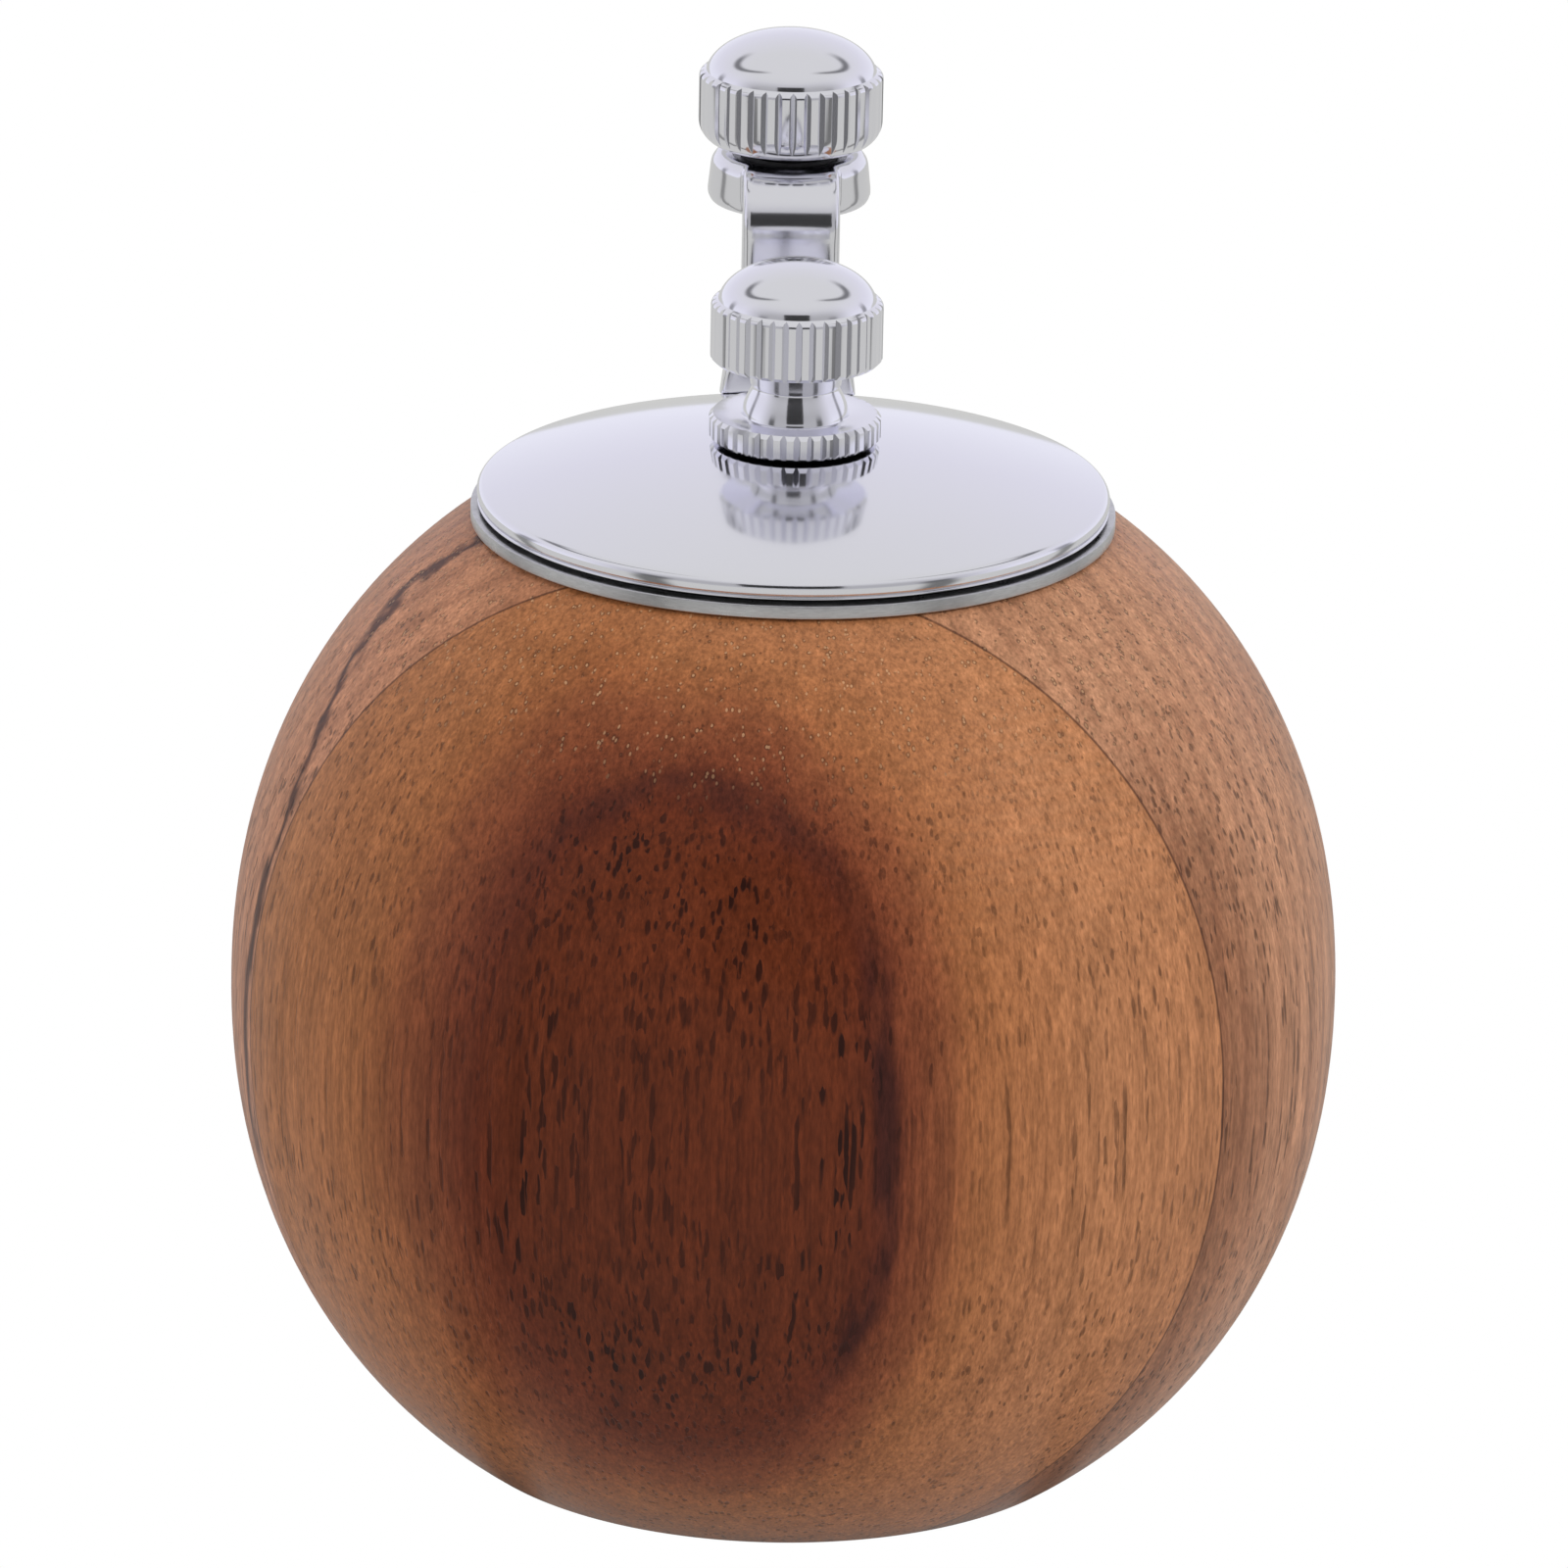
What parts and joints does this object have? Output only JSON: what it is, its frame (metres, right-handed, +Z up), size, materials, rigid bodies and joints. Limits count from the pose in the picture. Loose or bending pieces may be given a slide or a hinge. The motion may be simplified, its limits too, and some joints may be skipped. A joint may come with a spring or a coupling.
{
  "type": "pepper mill",
  "caption": "Ball-shaped wooden pepper mill with a domed metal lid, a short upright crank with a knurled knob, a knurled adjusting nut and a conical grinder in its base.",
  "frame": {"origin": "centre of the base, on the surface that the mill stands on", "axes": "+Z up along the mill's axis; the crank stands towards +Y, so the front is -Y"},
  "size_m": [0.08, 0.08, 0.0978],
  "materials": {
    "wood_front": "satin lacquered acacia, dark heart figure",
    "wood_middle": "satin lacquered acacia",
    "wood_rear": "satin lacquered acacia",
    "chrome": "polished",
    "chrome_cast": "polished cast zinc",
    "ring_steel": "satin",
    "steel": "satin",
    "spring_steel": "bright drawn wire",
    "burr_steel": "hardened, dark",
    "black_plastic": "matt"
  },
  "bodies": {
    "root": {"front_board": "wood_front", "middle_board": "wood_middle", "rear_board": "wood_rear", "seat_ring": "ring_steel", "grinder_housing": "black_plastic", "outer_burr": "burr_steel", "bearing_bridge": "steel", "bridge_screws": "steel", "housing_screws": "steel", "spring": "spring_steel"},
    "plug": {"lid_bush": "black_plastic"},
    "crank": {"lid": "chrome", "lid_hub": "steel", "hub_clip": "spring_steel", "crank_arm": "chrome_cast", "foot_rivets": "steel", "knob_pin": "steel", "knob_washer": "black_plastic"},
    "knob": {"crank_knob": "chrome", "knob_bush": "steel"},
    "nut": {"adjusting_nut": "chrome"},
    "thrust": {"thrust_washer": "steel"},
    "spindle": {"drive_shaft": "steel", "shaft_bush": "black_plastic", "inner_burr": "burr_steel", "rotor_washer": "steel", "rotor_nut": "steel"}
  },
  "joints": [
    {"name": "lid_lift", "type": "slide", "parent": "root", "child": "plug", "axis": [0, 0, 1], "range_m": [0, 0.035]},
    {"name": "crank_turn", "type": "hinge", "parent": "plug", "child": "crank", "pos_m": [0, 0, 0.07], "axis": [0, 0, 1], "continuous": true},
    {"name": "knob_spin", "type": "hinge", "parent": "crank", "child": "knob", "pos_m": [0, 0.028, 0.0885], "axis": [0, 0, 1], "continuous": true},
    {"name": "nut_turn", "type": "hinge", "parent": "crank", "child": "nut", "pos_m": [0, 0, 0.076], "axis": [0, 0, 1], "range_deg": [-361, 361]},
    {"name": "burr_travel", "type": "slide", "parent": "root", "child": "thrust", "axis": [0, 0, 1], "range_m": [-0.0007, 0.0007], "deforming": ["spring"]},
    {"name": "spindle_turn", "type": "hinge", "parent": "thrust", "child": "spindle", "pos_m": [0, 0, 0.013], "axis": [0, 0, 1], "continuous": true}
  ],
  "couplings": [
    {"joint": "nut_turn", "follows": "burr_travel", "rad_per_m": -8976},
    {"joint": "spindle_turn", "follows": "crank_turn", "ratio": 1}
  ]
}
